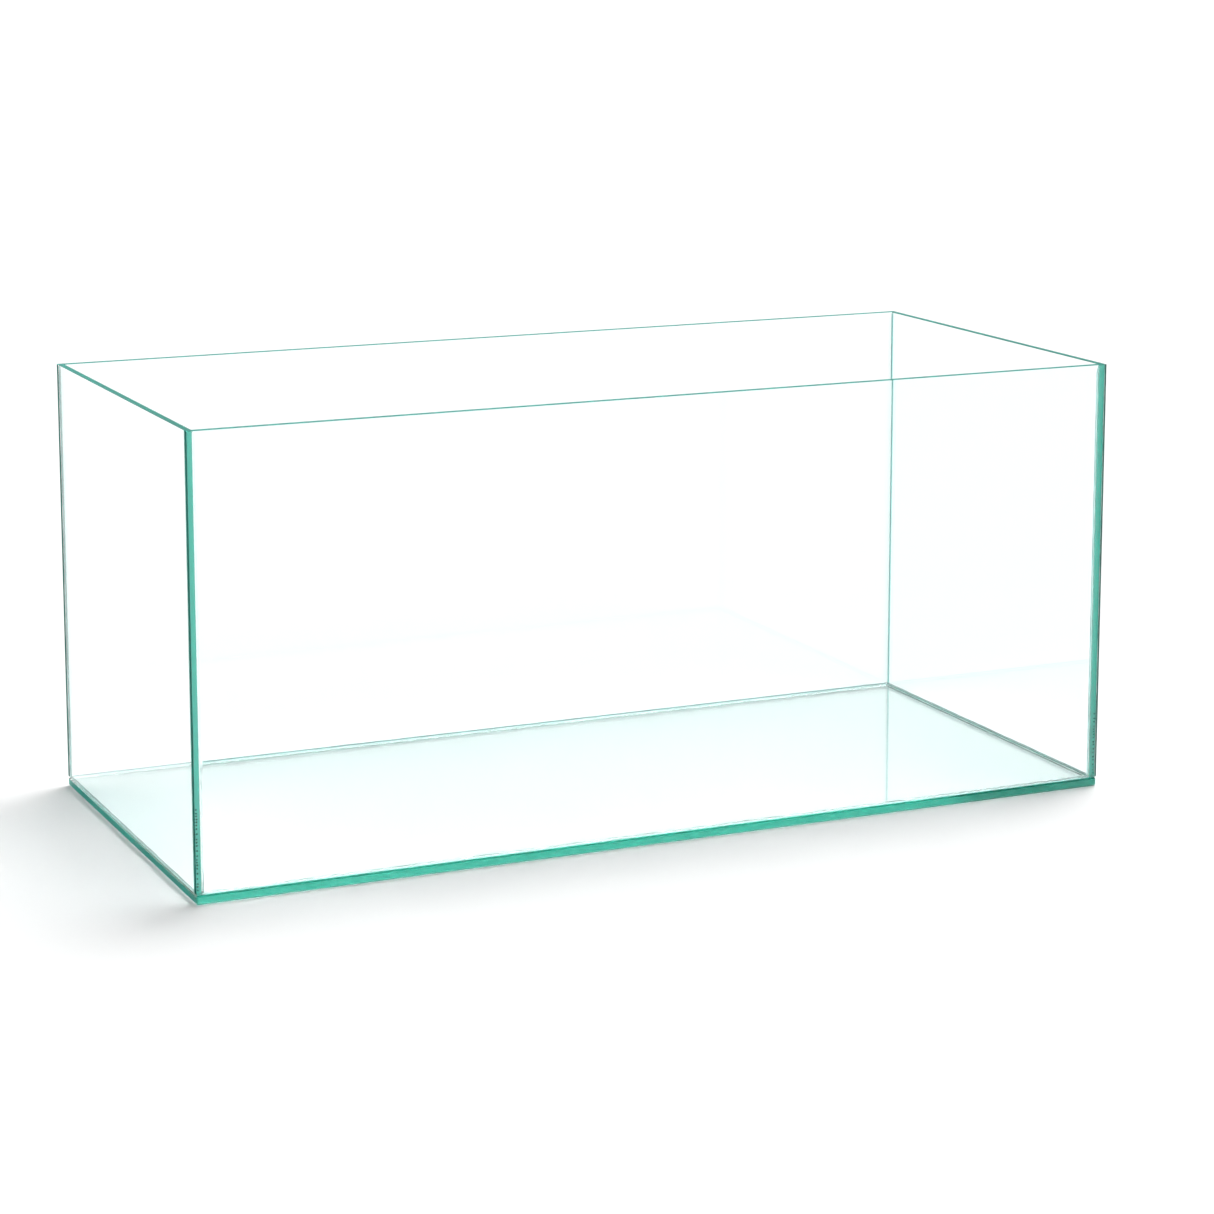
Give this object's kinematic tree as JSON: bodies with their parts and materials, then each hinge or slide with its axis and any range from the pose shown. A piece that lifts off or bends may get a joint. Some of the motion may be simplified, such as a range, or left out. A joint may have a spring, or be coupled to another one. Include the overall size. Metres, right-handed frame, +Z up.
{
  "type": "glass aquarium tank",
  "caption": "Rimless open-top glass aquarium tank: flat polished panes on a base pane, bonded and sealed with clear silicone.",
  "frame": {"origin": "middle of the underside of the base pane, on the surface that the tank stands on", "axes": "+X along the tank's length to its right end, -Y out of the front pane, +Z up"},
  "size_m": [0.9, 0.41, 0.41],
  "materials": {
    "float_glass": "clear green-tinted float glass, polished faces, ground bevels along the edges",
    "bond_silicone": "clear silicone film, flat and wetted to the glass on both sides",
    "bead_silicone": "clear silicone, smooth and glossy, tooled to a hollow face"
  },
  "bodies": {
    "root": {"base_pane": "float_glass", "front_pane": "float_glass", "back_pane": "float_glass", "left_pane": "float_glass", "right_pane": "float_glass", "front_base_bond": "bond_silicone", "back_base_bond": "bond_silicone", "left_base_bond": "bond_silicone", "right_base_bond": "bond_silicone", "front_left_corner_bond": "bond_silicone", "front_right_corner_bond": "bond_silicone", "back_left_corner_bond": "bond_silicone", "back_right_corner_bond": "bond_silicone", "front_floor_bead": "bead_silicone", "back_floor_bead": "bead_silicone", "left_floor_bead": "bead_silicone", "right_floor_bead": "bead_silicone", "front_left_corner_bead": "bead_silicone", "front_right_corner_bead": "bead_silicone", "back_left_corner_bead": "bead_silicone", "back_right_corner_bead": "bead_silicone"}
  },
  "joints": []
}
